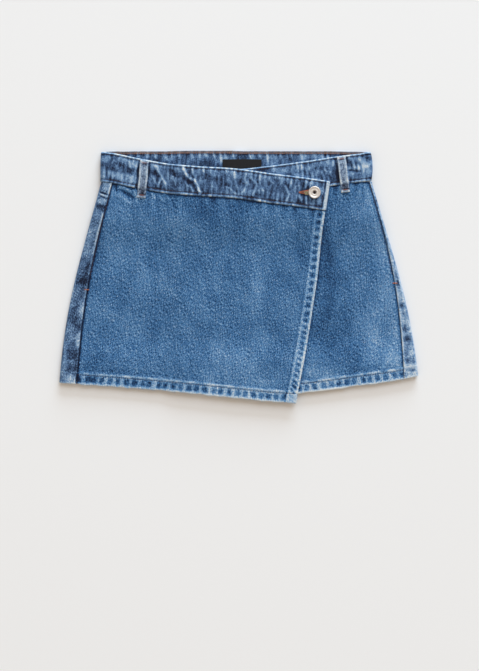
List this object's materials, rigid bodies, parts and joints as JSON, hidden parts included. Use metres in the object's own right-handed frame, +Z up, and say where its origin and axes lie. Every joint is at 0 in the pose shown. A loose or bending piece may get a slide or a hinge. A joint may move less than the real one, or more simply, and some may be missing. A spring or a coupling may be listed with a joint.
{
  "type": "denim wrap skort, laid flat",
  "caption": "Short denim wrap skort laid flat front up: a flap panel buttons across the front over an underlap, with shorts behind.",
  "frame": {"origin": "centre of the garment's outline, on the surface that it lies on", "axes": "+Z up from the surface, out of the front; +Y towards the waist; +X to the right as seen from above"},
  "size_m": [0.4922, 0.3466, 0.0147],
  "materials": {
    "denim": "washed blue cotton denim, 3/1 twill, about 420 g/m2",
    "denim_loops": "washed blue denim strips with worn pale edges",
    "pocketing": "plain off-white cotton pocketing",
    "label": "plain black woven tape",
    "button": "pressed jeans button, pale copper-nickel plate"
  },
  "bodies": {
    "root": {"back_left": "denim", "back_right": "denim", "shorts_front_left": "denim", "shorts_front_right": "denim", "front_underlap": "denim", "front_overlap": "denim", "waistband": "denim", "belt_loop_front_left": "denim_loops", "belt_loop_front_right": "denim_loops", "belt_loop_back_left": "denim_loops", "belt_loop_back_centre": "denim_loops", "belt_loop_back_right": "denim_loops", "pocket_bag_left": "pocketing", "pocket_bag_right": "pocketing", "label": "label", "button_cap": "button", "button_tack": "button"}
  },
  "joints": []
}
